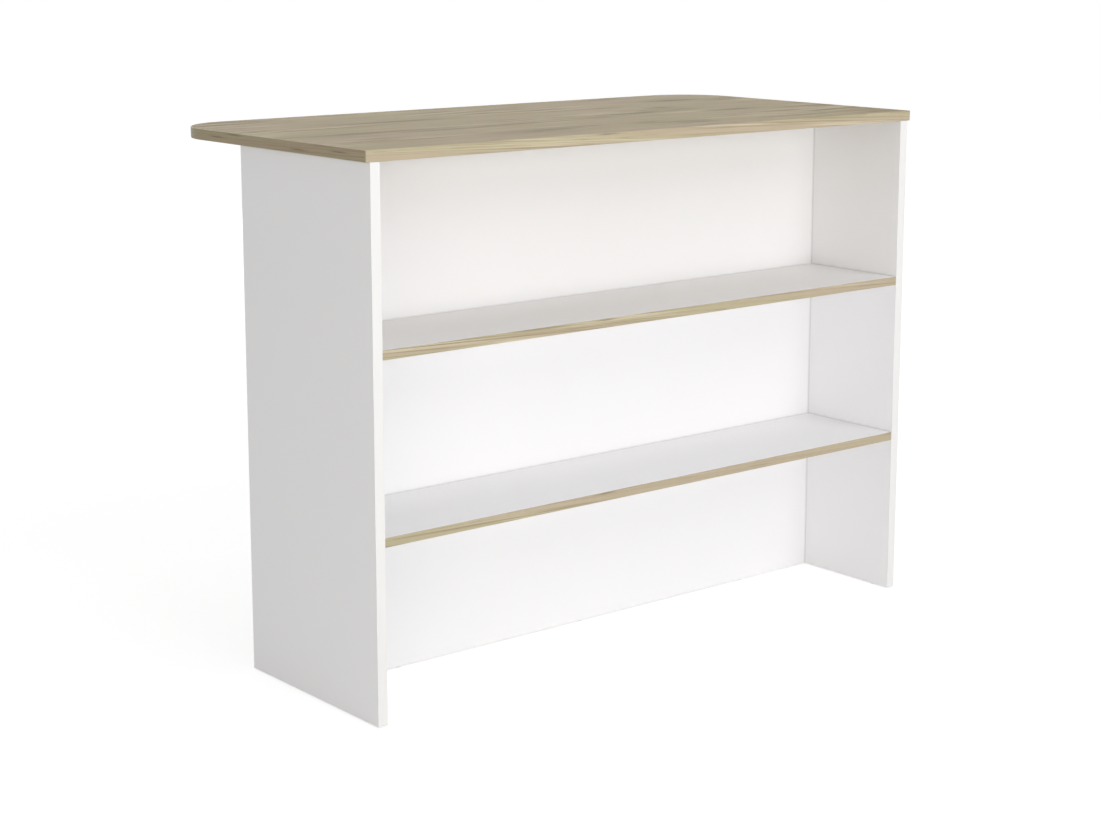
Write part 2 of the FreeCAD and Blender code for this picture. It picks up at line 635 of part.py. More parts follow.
def cam_joint(label, point, into, face, thickness):
    """A cam lock in the board's face, and the bolt that it pulls. Returns the bolt."""
    centre = moved(moved(point, into, "Sizes.cam_setback"), face, "%s / 2" % thickness)
    seated = Rotation(-into, face.cross(-into), face, "ZXY")
    nodes.append(copy_of(cam_models[thickness], label + "_cam", centre, seated))
    return copy_of(bolt_model, label + "_bolt", point, pointing(into))


def dowel_joints(label, points, into):
    return [copy_of(dowel_model, "%s_dowel_%d" % (label, i), point, pointing(into))
            for i, point in enumerate(points, start=1)]


ENDS = (("left", LEFT_FACE, X), ("right", RIGHT_FACE, -X))


def from_front(depth):
    return "%s + %s" % (FRONT, depth)


def above_boards(height):
    return "Sizes.glide_thickness + %s" % height


for name, line in zip(("upper_shelf", "lower_shelf"), SHELF_LINES):
    level = above_boards(line)
    bolts, dowels = [], []
    for side, face, into in ENDS:
        for end, depth in zip(("front", "rear"), SHELF_BOLT_DEPTHS):
            bolts.append(cam_joint("_".join((name, side, end)), (face, from_front(depth), level),
                                   into, -Z, "Sizes.shelf_thickness"))
        dowels += dowel_joints("%s_%s" % (name, side),
                               [(face, from_front(depth), level) for depth in SHELF_DOWEL_DEPTHS],
                               into)
    rear = from_front("Sizes.shelf_depth")
    dowels += dowel_joints(name + "_rear", [(x, rear, level) for x in
                                            spread("0", "Sizes.shelf_dowel_spacing")], -Y)
    group(name + "_cam_bolts", bolts)
    group(name + "_dowels", dowels)

bolts, dowels = [], []
back_y = from_front(BACK_MIDDLE)
for side, face, into in ENDS:
    for end, height in zip(("low", "high"), BACK_BOLT_HEIGHTS):
        bolts.append(cam_joint("_".join(("back_panel", side, end)),
                               (face, back_y, above_boards(height)), into, Y,
                               "Sizes.back_panel_thickness"))
    dowels += dowel_joints("back_panel_" + side,
                           [(face, back_y, above_boards(height)) for height in BACK_DOWEL_HEIGHTS],
                           into)
group("back_panel_cam_bolts", bolts)
group("back_panel_dowels", dowels)

bolts, dowels = [], []
for side, face, into in ENDS:
    middle = moved((face, "0", UNDERSIDE), -into, "Sizes.side_panel_thickness / 2")[0]
    bolts.append(cam_joint("worktop_%s_side" % side, (middle, from_front(SIDE_CAM_DEPTH),
                                                      UNDERSIDE), -Z, into,
                           "Sizes.side_panel_thickness"))
    dowels += dowel_joints("worktop_%s_side" % side,
                           [(middle, from_front(depth), UNDERSIDE) for depth in
                            ("Sizes.worktop_front_dowel_inset", SIDE_DOWEL_DEPTH)], -Z)
    along = moved(("0", "0", "0"), -into, "Sizes.worktop_cam_spacing / 2")[0]
    bolts.append(cam_joint("worktop_%s_back" % side, (along, back_y, UNDERSIDE), -Z, Y,
                           "Sizes.back_panel_thickness"))
dowels += dowel_joints("worktop_back", [(x, back_y, UNDERSIDE) for x in
                                        spread("0", TOP_DOWEL_SPACING)], -Z)
group("worktop_cam_bolts", bolts)
group("worktop_dowels", dowels)

glide_places = []
for side, face, into in ENDS:
    middle = moved((face, "0", "0"), -into, "Sizes.side_panel_thickness / 2")[0]
    for end, depth in zip(("front", "rear"), GLIDE_DEPTHS):
        glide_places.append(("%s_%s" % (side, end), (middle, from_front(depth), "0")))
for end, x in zip(("left", "middle", "right"), spread("0", BACK_GLIDE_SPACING)):
    glide_places.append(("back_" + end, (x, back_y, "0")))
nails = []
for name, point in glide_places:
    nodes.append(copy_of(glide_model, name + "_glide", point))
    nails.append(copy_of(nail_model, name + "_glide_nail", point))
group("glide_nails", nails)

doc.recompute()

for obj in doc.Objects:
    if "Invalid" in obj.State or "Error" in obj.State:
        raise RuntimeError("%s failed: %s" % (obj.Label, obj.State))
    if obj.isDerivedFrom("PartDesign::Feature") and len(obj.Shape.Solids) != 1:
        raise RuntimeError("%s of %s isn't one solid" % (obj.Label, obj.getParent().Label))
    if obj.TypeId in ("PartDesign::Pocket", "PartDesign::Groove"):
        if obj.Shape.Volume >= obj.BaseFeature.Shape.Volume:
            raise RuntimeError("%s of %s cuts nothing" % (obj.Label, obj.getParent().Label))
for node in nodes:
    if node.Shape.isNull() or not node.Shape.isValid():
        raise RuntimeError("%s has no valid shape" % node.Label)

os.makedirs("parts", exist_ok=True)
for node in nodes:
    node.Shape.exportStep("parts/%s.step" % node.Label)
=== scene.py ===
import json
import math

import bmesh
import bpy
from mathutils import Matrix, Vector


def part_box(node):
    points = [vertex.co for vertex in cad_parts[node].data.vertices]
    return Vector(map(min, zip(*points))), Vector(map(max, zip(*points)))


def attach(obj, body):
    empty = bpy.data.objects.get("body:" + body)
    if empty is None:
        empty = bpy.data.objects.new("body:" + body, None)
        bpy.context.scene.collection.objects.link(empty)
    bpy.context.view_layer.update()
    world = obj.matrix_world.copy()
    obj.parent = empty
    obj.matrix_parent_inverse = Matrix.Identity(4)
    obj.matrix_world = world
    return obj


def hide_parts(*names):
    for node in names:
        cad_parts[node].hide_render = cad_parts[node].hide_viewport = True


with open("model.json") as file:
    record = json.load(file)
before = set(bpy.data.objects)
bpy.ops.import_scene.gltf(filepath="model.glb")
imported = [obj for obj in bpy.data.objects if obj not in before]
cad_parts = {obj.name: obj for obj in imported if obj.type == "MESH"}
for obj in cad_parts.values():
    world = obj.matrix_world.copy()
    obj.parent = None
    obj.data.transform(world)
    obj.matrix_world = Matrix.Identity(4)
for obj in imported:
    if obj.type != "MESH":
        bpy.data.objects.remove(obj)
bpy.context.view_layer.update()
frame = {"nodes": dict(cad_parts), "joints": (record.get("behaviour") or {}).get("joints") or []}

# ---------------------------------------------------------------------------------------------
# The studio: a camera on the staff side, a little higher than the worktop, a white floor that
# runs out to a white surround, and large soft lamps, of which the one on the staff side is the
# strongest.

FRAME_WIDTH = 1100.0  # in pixels, as are the next three
FRAME_HEIGHT = 824.0
FOCAL_LENGTH = 2168.17
AXIS_ROW = 344.9  # the row that the lens axis meets
CAMERA_PLACE = (-2.4177, -2.9420, 1.2081)
CAMERA_AZIMUTH = math.radians(-39.336)
CAMERA_ELEVATION = math.radians(10.619)

scene = bpy.context.scene
camera = bpy.data.objects.new("camera", bpy.data.cameras.new("camera"))
scene.collection.objects.link(camera)
scene.camera = camera
camera.location = CAMERA_PLACE
camera.rotation_euler = (math.pi / 2 - CAMERA_ELEVATION, 0.0, CAMERA_AZIMUTH)
camera.data.lens = FOCAL_LENGTH / FRAME_WIDTH * camera.data.sensor_width
camera.data.shift_y = (AXIS_ROW - FRAME_HEIGHT / 2) / FRAME_WIDTH
scene.view_settings.view_transform = "Standard"


def maths(operation, swapped=False):
    """An operator that adds a Math node to the tree of the signal that it is used on."""
    def apply(self, other=0.0):
        pair = (other, self) if swapped else (self, other)
        return self.net.node("ShaderNodeMath", {"operation": operation}, dict(enumerate(pair)))
    return apply


class Signal:
    """An output socket that Python arithmetic works on."""

    def __init__(self, net, socket):
        self.net, self.socket = net, socket

    __add__ = __radd__ = maths("ADD")
    __sub__, __rsub__ = maths("SUBTRACT"), maths("SUBTRACT", swapped=True)
    __mul__ = __rmul__ = maths("MULTIPLY")
    __truediv__, __rtruediv__ = maths("DIVIDE"), maths("DIVIDE", swapped=True)
    __gt__, __lt__ = maths("GREATER_THAN"), maths("LESS_THAN")
    __abs__ = maths("ABSOLUTE")
    higher_of, lower_of = maths("MAXIMUM"), maths("MINIMUM")
    exponential = maths("EXPONENT")


class Net:
    """A node tree."""

    def __init__(self, tree):
        self.tree = tree

    def node(self, kind, settings=None, sockets=None, output=0):
        """A new node: its settings are made first, then its sockets' values or links."""
        node = self.tree.nodes.new(kind)
        for name, value in (settings or {}).items():
            if name == "stops":
                for i, (position, colour) in enumerate(value):
                    ends = node.color_ramp.elements
                    stop = ends[i] if i < len(ends) else ends.new(position)
                    stop.position = position
                    stop.color = colour
            else:
                setattr(node, name, value)
        for name, value in (sockets or {}).items():
            if isinstance(value, Signal):
                self.tree.links.new(value.socket, node.inputs[name])
            else:
                node.inputs[name].default_value = value
        return Signal(self, node.outputs[output]) if len(node.outputs) else None

    def vector(self, operation, *values, output=0):
        return self.node("ShaderNodeVectorMath", {"operation": operation},
                         dict(enumerate(values)), output)

    def mix(self, factor, first, second, how="MIX"):
        """One colour over another, by a share from 0 to 1."""
        settings = {"data_type": "RGBA", "blend_type": how, "clamp_factor": True}
        return self.node("ShaderNodeMix", settings, {0: factor, 6: first, 7: second}, 2)

    def between(self, value, low, high):
        """0 where the value is at low or past it, 1 at high, and a soft step between."""
        return self.node("ShaderNodeMapRange", {"interpolation_type": "SMOOTHSTEP"},
                         {0: value, 1: low, 2: high})


def rgb(red, green, blue):
    return (red, green, blue, 1.0)


def grey(level):
    return rgb(level, level, level)


LAMP_REACH = 6.0  # metres from the counter to each lamp
LAMP_WIDTH = 4.5
LAMP_AIM = Vector((0.0, 0.0, 0.5))
WHITE = (1.0, 1.0, 1.0)
WARM_WHITE = (1.0, 0.970, 0.910)
LAMPS = {  # azimuth and elevation as seen from the counter, height, watts and colour
    "staff_side_lamp": (0.0, 3.0, 3.0, 118.0, WHITE),
    "staff_side_high_lamp": (10.0, 38.0, 3.0, 73.0, WHITE),
    "left_lamp": (-40.0, 1.0, 1.1, 66.0, WARM_WHITE),
    "overhead_lamp": (0.0, 88.0, 4.5, 70.0, WHITE),
    "customer_side_lamp": (150.0, 8.0, 4.5, 87.0, WHITE),
}
SURROUND_LEVEL = 0.39  # how much light comes from all sides; the surround shows as 1, white

for name, (azimuth, elevation, height, watts, colour) in LAMPS.items():
    lamp = bpy.data.objects.new(name, bpy.data.lights.new(name, "AREA"))
    scene.collection.objects.link(lamp)
    lamp.data.shape = "RECTANGLE"
    lamp.data.size = LAMP_WIDTH
    lamp.data.size_y = height
    lamp.data.energy = watts
    lamp.data.color = colour
    across = math.radians(azimuth)
    up = math.radians(elevation)
    outward = Vector((math.sin(across) * math.cos(up), -math.cos(across) * math.cos(up),
                      math.sin(up)))
    lamp.location = LAMP_AIM + outward * LAMP_REACH
    lamp.rotation_euler = outward.to_track_quat("Z", "Y").to_euler()
    lamp.visible_camera = False

surround = bpy.data.worlds.new("surround")
scene.world = surround
surround.use_nodes = True
surround.node_tree.nodes.clear()
sky = Net(surround.node_tree)


def seen_rays(net):
    """1 for the rays that show the surround itself: the camera's, and those that a shiny or a
    clear surface sends on."""
    camera_ray = net.node("ShaderNodeLightPath", {}, {}, "Is Camera Ray")
    glossy_ray = net.node("ShaderNodeLightPath", {}, {}, "Is Glossy Ray")
    clear_ray = net.node("ShaderNodeLightPath", {}, {}, "Is Transmission Ray")
    return camera_ray.higher_of(glossy_ray).higher_of(clear_ray)


level = seen_rays(sky) * (1.0 - SURROUND_LEVEL) + SURROUND_LEVEL
light = sky.node("ShaderNodeBackground", {}, {"Color": grey(1.0), "Strength": level})
sky.node("ShaderNodeOutputWorld", {}, {"Surface": light})

FLOOR_REACH = 40.0  # metres to each side
NEAR_FLOOR = 1.5  # metres from the counter's middle
FAR_FLOOR = 8.0
NEAR_GLOW = 0.74  # what the seen floor shows there before any light falls on it
FAR_GLOW = 0.84
FLOOR_SHADE = 0.42  # how far the light that falls on it, and so the shadow, shows
FLOOR_BOUNCE = 0.93  # how much of the light it throws back on the counter

floor_mesh = bpy.data.meshes.new("floor")
floor_mesh.from_pydata([(x * FLOOR_REACH, y * FLOOR_REACH, 0.0)
                        for x, y in ((-1, -1), (1, -1), (1, 1), (-1, 1))], [], [(0, 1, 2, 3)])
floor = bpy.data.objects.new("floor", floor_mesh)
scene.collection.objects.link(floor)
floor_material = bpy.data.materials.new("floor")
floor_material.use_nodes = True
floor_material.node_tree.nodes.clear()
floor_mesh.materials.append(floor_material)
ground = Net(floor_material.node_tree)
bounce = ground.node("ShaderNodeBsdfDiffuse", {}, {"Color": grey(FLOOR_BOUNCE)})
shade = ground.node("ShaderNodeBsdfDiffuse", {}, {"Color": grey(FLOOR_SHADE)})
away = ground.vector("LENGTH", ground.node("ShaderNodeTexCoord", {}, {}, "Object"), output=1)
far = ground.between(away, NEAR_FLOOR, FAR_FLOOR)
level = far * (FAR_GLOW - NEAR_GLOW) + NEAR_GLOW
glow = ground.node("ShaderNodeEmission", {}, {"Color": level})
seen = ground.node("ShaderNodeAddShader", {}, {0: shade, 1: glow})
surface = ground.node("ShaderNodeMixShader", {}, {0: seen_rays(ground), 1: bounce, 2: seen})
ground.node("ShaderNodeOutputMaterial", {}, {"Surface": surface})

# ---------------------------------------------------------------------------------------------
# The carcass: two side panels, the back panel and two shelves, sawn from melamine-faced
# particle board. The faces are a white, faintly pearled film. The sawn edges without a band
# and the walls of the drilled holes show the chips of the core.

MM = 0.001  # lengths are in metres
FILM_THICKNESS = 0.2 * MM
FILM_DIM = rgb(0.908, 0.902, 0.909)
FILM_BRIGHT = rgb(0.924, 0.918, 0.925)
SHADOW_LINE = 4.0 * MM  # how far the painted contact shadow beside a butted board reaches
SHADOW_DEPTH = 0.24
SHADOW_GREY = grey(0.30)
CORE_DARK = rgb(0.17, 0.10, 0.05)
CORE_BROWN = rgb(0.36, 0.24, 0.13)
CORE_PALE = rgb(0.58, 0.43, 0.27)
CORE_ROUGHNESS = 0.85
CORE_RELIEF = 0.25 * MM
CHIP_SCALE = 620.0  # how many in a metre, as in every scale below
FLECK_SCALE = 1500.0
CLOUD_SCALE = 3.0
PEARL_SCALE = 1900.0

nodes = frame["nodes"]


class Finish(Net):
    """A material whose nodes feed one Principled shader."""

    def __init__(self, name, constants):
        self.material = bpy.data.materials.new(name)
        self.material.use_nodes = True
        super().__init__(self.material.node_tree)
        self.tree.nodes.clear()
        self.shader = self.node("ShaderNodeBsdfPrincipled", {}, constants)
        self.node("ShaderNodeOutputMaterial", {}, {"Surface": self.shader})
        self.place = self.node("ShaderNodeTexCoord", {}, {}, "Object")
        split = self.node("ShaderNodeSeparateXYZ", {}, {0: self.place}).socket.node
        self.axes = [Signal(self, output) for output in split.outputs]

    def feed(self, **varying):
        """Link what changes over the surface to the shader's sockets."""
        for name, signal in varying.items():
            socket = self.shader.socket.node.inputs[name.replace("_", " ")]
            self.tree.links.new(signal.socket, socket)

    def point(self, x, y, z):
        return self.node("ShaderNodeCombineXYZ", {}, {0: x, 1: y, 2: z})

    def noise(self, at, scale=1.0, detail=2.0, roughness=0.5):
        """Cloudy noise from 0 to 1, with an average of a half."""
        return self.node("ShaderNodeTexNoise", {"noise_dimensions": "3D"},
                         {"Vector": at, "Scale": scale, "Detail": detail, "Roughness": roughness})

    def bump(self, height, distance):
        """A relief, with its height from 0 to 1 standing for a distance in metres."""
        return self.node("ShaderNodeBump", {}, {"Height": height, "Distance": distance,
                                                "Strength": 1.0}, "Normal")

    def cover(self, *pieces):
        """Put the finish on the pieces."""
        for piece in pieces:
            piece.data.materials.clear()
            piece.data.materials.append(self.material)


def highest(masks):
    """The highest of several masks at each point."""
    top, *others = masks
    for mask in others:
        top = top.higher_of(mask)
    return top


def shadow_lines(finish, neighbours):
    """A mask for painted contact shadow: 1 against the boards that butt on this one, fading out
    over four millimetres.
    """
    lines = []
    for node in neighbours:
        low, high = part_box(node)
        from_middle = finish.vector("ABSOLUTE",
                                    finish.vector("SUBTRACT", finish.place, (low + high) / 2))
        outside = finish.vector("MAXIMUM", finish.vector("SUBTRACT", from_middle,
                                                         (high - low) / 2), Vector())
        distance = finish.vector("LENGTH", outside, output=1)
        lines.append(1.0 - finish.between(distance, 0.0, SHADOW_LINE))
    return highest(lines)


def core(finish):
    """Colour and relief of sawn particle board: glued chips, one to three millimetres long."""
    chips = finish.node("ShaderNodeTexVoronoi", {"feature": "F1"}, {
        "Vector": finish.place, "Scale": CHIP_SCALE, "Randomness": 1.0}, "Color")
    shade = finish.node("ShaderNodeSeparateColor", {}, {0: chips})
    fleck = finish.noise(finish.place, FLECK_SCALE, 3.0)
    stops = [(0.0, CORE_DARK), (0.35, CORE_BROWN), (1.0, CORE_PALE)]
    tint = finish.node("ShaderNodeValToRGB", {"stops": stops}, {0: shade * 0.6 + fleck * 0.4})
    return tint, shade * 0.5 + fleck * 0.5


def face_board(finish, node, axis, colour, roughness, relief):
    """Give a board its two faces, and the bare core where it is sawn or drilled. The axis is
    the one across the board's thickness."""
    low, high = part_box(node)
    across = finish.axes[axis]
    below_face = (across - low[axis]).lower_of(high[axis] - across)
    bare = below_face > FILM_THICKNESS
    tint, chips = core(finish)
    finish.feed(
        Base_Color=finish.mix(bare, colour, tint),
        Roughness=(1.0 - bare) * roughness + bare * CORE_ROUGHNESS,
        Normal=finish.bump((1.0 - bare) * relief + bare * chips, CORE_RELIEF))
    finish.cover(nodes[node])


def melamine(node, axis, neighbours):
    """White film on a board's two faces, with a painted shadow line where each neighbour butts.
    """
    finish = Finish("white_melamine_" + node, {"Specular IOR Level": 0.45})
    cloud = finish.noise(finish.place, CLOUD_SCALE, 2.0)
    pearl = finish.noise(finish.place, PEARL_SCALE, 1.0)
    film = finish.mix(cloud, FILM_DIM, FILM_BRIGHT)
    # Painted shade: the film greys towards each board that butts on it.
    film = finish.mix(shadow_lines(finish, neighbours) * SHADOW_DEPTH, film, SHADOW_GREY)
    face_board(finish, node, axis, film, 0.42 + 0.10 * cloud + 0.05 * pearl, 0.08 * pearl)


X, Y, Z = range(3)
SHELVES = ("upper_shelf", "lower_shelf")
melamine("left_side_panel", X, (*SHELVES, "back_panel", "worktop"))
melamine("right_side_panel", X, (*SHELVES, "back_panel", "worktop"))
melamine("back_panel", Y, (*SHELVES, "left_side_panel", "right_side_panel", "worktop"))
for shelf in SHELVES:
    melamine(shelf, Z, ("left_side_panel", "right_side_panel", "back_panel"))

# ---------------------------------------------------------------------------------------------
# White edge bands: plastic strip, 1 mm thick, glued on the front and rear edges of the side
# panels and scraped round at both arrises.

STRIP_DIM = rgb(0.808, 0.801, 0.793)
STRIP_BRIGHT = rgb(0.822, 0.815, 0.807)
STRIP_RELIEF = 0.012 * MM
MOTTLE_SCALE = 900.0
PATCH_SCALE = 14.0

white_band = Finish("white_edge_band", {"Specular IOR Level": 0.45})
mottle = white_band.noise(white_band.place, MOTTLE_SCALE, 2.0)
patches = white_band.noise(white_band.place, PATCH_SCALE)
white_band.feed(
    Base_Color=white_band.mix(patches, STRIP_DIM, STRIP_BRIGHT),
    Roughness=0.36 + 0.12 * mottle,
    Normal=white_band.bump(mottle, STRIP_RELIEF))
white_band.cover(*(nodes["%s_panel_%s_band" % (side, end)]
                   for side in ("left", "right") for end in ("front", "rear")))

# ---------------------------------------------------------------------------------------------
# The worktop: particle board faced with an oak print. The grain runs along the counter in
# grey-brown and straw streaks, with darker heart streaks and a knot near the staff side.

HEART_STREAKS = [  # middle along and across the counter, half length, half width, in metres
    (-0.275, 0.100, 0.110, 0.012), (-0.430, -0.055, 0.120, 0.014), (-0.300, -0.078, 0.070, 0.010),
    (-0.120, -0.068, 0.100, 0.004), (0.170, -0.025, 0.110, 0.008), (0.290, 0.045, 0.030, 0.010),
    (0.370, -0.065, 0.060, 0.014), (0.430, 0.165, 0.070, 0.018), (-0.050, -0.182, 0.030, 0.004),
    (-0.180, -0.195, 0.090, 0.022), (0.145, -0.228, 0.055, 0.015)]
KNOT = (0.145, -0.228)
KNOT_REACH = (0.070, 0.022)
KNOT_PULL = 0.9  # how far the grain closes up at the knot
MARKS = {  # how many in a metre along and across the grain, place in the noise, and detail
    "bend": (1.1, 6.0, 0.0, 1.0),
    "tone": (1.7, 16.0, 3.1, 2.0),
    "busy": (2.4, 9.0, 23.7, 2.0),
    "broad": (4.5, 45.0, 9.1, 2.0),
    "streaks": (8.0, 120.0, 7.7, 4.0),
    "rings": (2.2, 60.0, 5.3, 1.0),
    "fibres": (26.0, 950.0, 11.3, 2.0),
    "pores": (85.0, 2300.0, 17.9, 1.0),
}
STREAK_ROUGHNESS = 0.6
BEND_REACH = 24 * MM  # how wide the grain swings, from side to side
RINGS_PER_METRE = 55.0
RING_SWAY = 9.0  # how many rings wide the growth lines sway
FAINTEST_STREAKS = 0.3
STRONGEST_STREAKS = 1.6


def grain(finish, along, across, seed, fineness):
    """The oak print as masks from 0 to 1: its broad tone, its lightness in streaks, its growth
    lines, its fine fibres and its pores. A larger fineness packs all but the growth lines
    closer together and straightens them. The streaks are strong in some places and faint in
    others."""
    def mark(name, sideways, roughness=0.5):
        """Noise drawn out along the grain, for one of the marks."""
        scale_along, scale_across, place, detail = MARKS[name]
        at = finish.point(along * scale_along, sideways * scale_across, seed + place)
        return finish.noise(at, 1.0, detail, roughness)

    drift = across + (mark("bend", across) - 0.5) * (BEND_REACH / fineness)
    line = drift * fineness
    streaks = mark("streaks", line, STREAK_ROUGHNESS)
    strength = finish.between(mark("busy", line), 0.40, 0.60)
    strength = strength * (STRONGEST_STREAKS - FAINTEST_STREAKS) + FAINTEST_STREAKS
    light = (mark("broad", line) * 0.5 + streaks * 0.5 - 0.5) * strength + 0.5
    rings = mark("rings", drift) * RING_SWAY + drift * RINGS_PER_METRE
    ring = finish.node("ShaderNodeMath", {"operation": "FRACT"}, {0: rings})
    late = finish.between(ring, 0.55, 1.0) * finish.between(streaks, 0.62, 0.40)
    pores = finish.between(mark("pores", line), 0.66, 0.73)
    return mark("tone", line), light, late, mark("fibres", line), pores


def spot(finish, along, across, place, reach):
    """A soft oval patch: 1 in its middle, about a third at its reach, fading out beyond."""
    u = (along - place[0]) / reach[0]
    v = (across - place[1]) / reach[1]
    return ((u * u + v * v) * -1.0).exponential()


OAK_GREY = rgb(0.420, 0.338, 0.231)
OAK_STRAW = rgb(0.402, 0.344, 0.212)
OAK_PALE = rgb(0.539, 0.461, 0.318)
OAK_BROWN = rgb(0.237, 0.184, 0.110)
OAK_HEART = rgb(0.145, 0.109, 0.069)
OAK_PORE = rgb(0.140, 0.103, 0.063)
PALE_SHARE = 0.85
BROWN_SHARE = 0.75
FIBRE_SHARE = 0.55
PORE_SHARE = 0.45


def oak(finish, along, across, seed, heart, fineness, swing, late_share):
    """Colour and relief of the oak print. The heart is a mask of its darker wood, a smaller
    swing makes the streaks stronger, and the late share is the strength of the growth lines."""
    tone, light, late, fibres, pores = grain(finish, along, across, seed, fineness)
    colour = finish.mix(finish.between(tone, 0.42, 0.58), OAK_GREY, OAK_STRAW)
    pale = finish.between(light, 0.50, 0.50 + swing)
    brown = finish.between(light, 0.50, 0.50 - swing)
    colour = finish.mix(pale * PALE_SHARE, colour, OAK_PALE)
    colour = finish.mix(brown * BROWN_SHARE, colour, OAK_BROWN)
    colour = finish.mix(late * late_share, colour, OAK_BROWN)
    colour = finish.mix(heart, colour, OAK_HEART)
    colour = finish.mix((fibres - 0.38) * FIBRE_SHARE, colour, OAK_BROWN)
    colour = finish.mix(pores * PORE_SHARE, colour, OAK_PORE)
    return colour, light * 0.4 + fibres * 0.5 - pores * 0.5


WORKTOP_SEED = 0.0
WORKTOP_FINENESS = 1.0
WORKTOP_SWING = 0.13
WORKTOP_LATE_SHARE = 0.45
TEARS = (7.0, 300.0)  # hairlines through the heart streaks, in a metre along and across
TEAR_SEED = 5.0

worktop = Finish("oak_worktop", {"Specular IOR Level": 0.05})
x, y = worktop.axes[:2]
knot = spot(worktop, x, y, KNOT, KNOT_REACH)
flow = y + knot * (y - KNOT[1]) * KNOT_PULL
heart = highest([spot(worktop, x, flow, streak[:2], streak[2:]) for streak in HEART_STREAKS])
torn = worktop.noise(worktop.point(x * TEARS[0], flow * TEARS[1], TEAR_SEED), 1.0, 3.0)
heart = heart * worktop.between(torn, 0.34, 0.56)
colour, relief = oak(worktop, x, flow, WORKTOP_SEED, heart, WORKTOP_FINENESS, WORKTOP_SWING,
                     WORKTOP_LATE_SHARE)
face_board(worktop, "worktop", Z, colour, 0.62 - 0.08 * relief, 0.25 * relief)

# ---------------------------------------------------------------------------------------------
# Oak edge bands: plastic strip with the same print, its streaks a little aslant. One runs
# round the worktop's left edge, rear and right edge, one along its staff side, and one along
# the front of each shelf. The strips on the staff side are tinted lighter, as painted light,
# and the rim darker, as painted shade.

BAND_SLANT = 0.03  # how far the streaks climb in each metre of the strip
BAND_PACE = 0.5  # the streaks are twice as long as on the worktop
BAND_CUT = 83.0  # parts the places on the roll that the strips are cut from
BAND_SHIFT = 0.9  # keeps the rim's left and right ends from having the same print
BAND_FINENESS = 5.0
BAND_SWING = 0.11
BAND_LATE_SHARE = 0.5
BAND_RELIEF = 0.05 * MM
# Painted light and shade: the staff-side strips are tinted lighter and bluer, the rim darker, for
# how the light falls on each side.
FRONT_PAINTED_LIGHT_TINT = rgb(1.18, 1.22, 1.28)
RIM_PAINTED_SHADE_TINT = rgb(0.91, 0.91, 0.88)
DASH_REACH = (22 * MM, 1.2 * MM)
DASH_SHARE = 0.8  # how much of the heart colour the dashes take
BAND_DASHES = [(-0.128, -0.002)]  # middle along the band and below its upper edge, in metres
RIM_DASHES = [(-0.522, -0.0025), (-0.470, -0.009), (-0.710, -0.012), (-0.823, -0.0075)]


def oak_band(name, node, tint, dashes, along_rim=False):
    """The print on a strip, times a tint that is painted light on the staff-side strips and
    painted shade on the rim. The rim's print runs on round its corners.
    """
    low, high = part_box(node)
    finish = Finish(name, {"Specular IOR Level": 0.25})
    x, y, z = finish.axes
    along = y - abs(x) if along_rim else x
    depth = z - high.z
    heart = highest([spot(finish, along, depth, place, DASH_REACH) for place in dashes])
    colour, relief = oak(finish, along * BAND_PACE, depth + along * BAND_SLANT,
                         x * BAND_SHIFT + high.z * BAND_CUT, heart * DASH_SHARE, BAND_FINENESS,
                         BAND_SWING, BAND_LATE_SHARE)
    finish.feed(
        Base_Color=finish.mix(1.0, colour, tint, "MULTIPLY"),
        Roughness=0.5 - 0.08 * relief,
        Normal=finish.bump(relief, BAND_RELIEF))
    finish.cover(nodes[node])


oak_band("oak_band_worktop_rim", "worktop_rim_band", RIM_PAINTED_SHADE_TINT, RIM_DASHES, along_rim=True)
oak_band("oak_band_worktop_front", "worktop_front_band", FRONT_PAINTED_LIGHT_TINT, BAND_DASHES)
for shelf in SHELVES:
    oak_band("oak_band_" + shelf, shelf + "_front_band", FRONT_PAINTED_LIGHT_TINT, BAND_DASHES)

# ---------------------------------------------------------------------------------------------
# Cam locks: zinc die-castings, tumbled, with a cross recess and an arrow towards the entrance.
# Each is dropped into its bore and turned half round to pull the bolt's head in.

ZINC_DULL = rgb(0.40, 0.40, 0.41)
ZINC_BRIGHT = rgb(0.58, 0.58, 0.59)
ZINC_RELIEF = 0.06 * MM
SKIN_SCALE = 420.0
GRIT_SCALE = 2600.0

zinc = Finish("die_cast_zinc", {"Metallic": 1.0})
skin = zinc.noise(zinc.place, SKIN_SCALE, 3.0)
grit = zinc.noise(zinc.place, GRIT_SCALE, 2.0)
zinc.feed(
    Base_Color=zinc.mix(skin, ZINC_DULL, ZINC_BRIGHT),
    Roughness=0.34 + 0.22 * skin,
    Normal=zinc.bump(skin * 0.5 + grit * 0.5, ZINC_RELIEF))
zinc.cover(*(nodes[joint["child"]] for joint in frame["joints"]))

# ---------------------------------------------------------------------------------------------
# Cam bolts: turned steel, bright zinc plated, with a ball head. The stem has a coarse thread
# that cuts its own way into the board. The glides' nails are plated in the same way.

STEEL_DULL = rgb(0.62, 0.63, 0.64)
STEEL_BRIGHT = rgb(0.76, 0.77, 0.79)
STEEL_RELIEF = 0.02 * MM
SCRATCH_SCALE = 700.0

steel = Finish("zinc_plated_steel", {"Metallic": 1.0})
scratches = steel.noise(steel.place, SCRATCH_SCALE, 2.0)
steel.feed(
    Base_Color=steel.mix(scratches, STEEL_DULL, STEEL_BRIGHT),
    Roughness=0.24 + 0.12 * scratches,
    Normal=steel.bump(scratches, STEEL_RELIEF))
JOINTED_BOARDS = (*SHELVES, "back_panel", "worktop")
BOLT_NODES = [board + "_cam_bolts" for board in JOINTED_BOARDS]
steel.cover(*(nodes[name] for name in BOLT_NODES), nodes["glide_nails"])

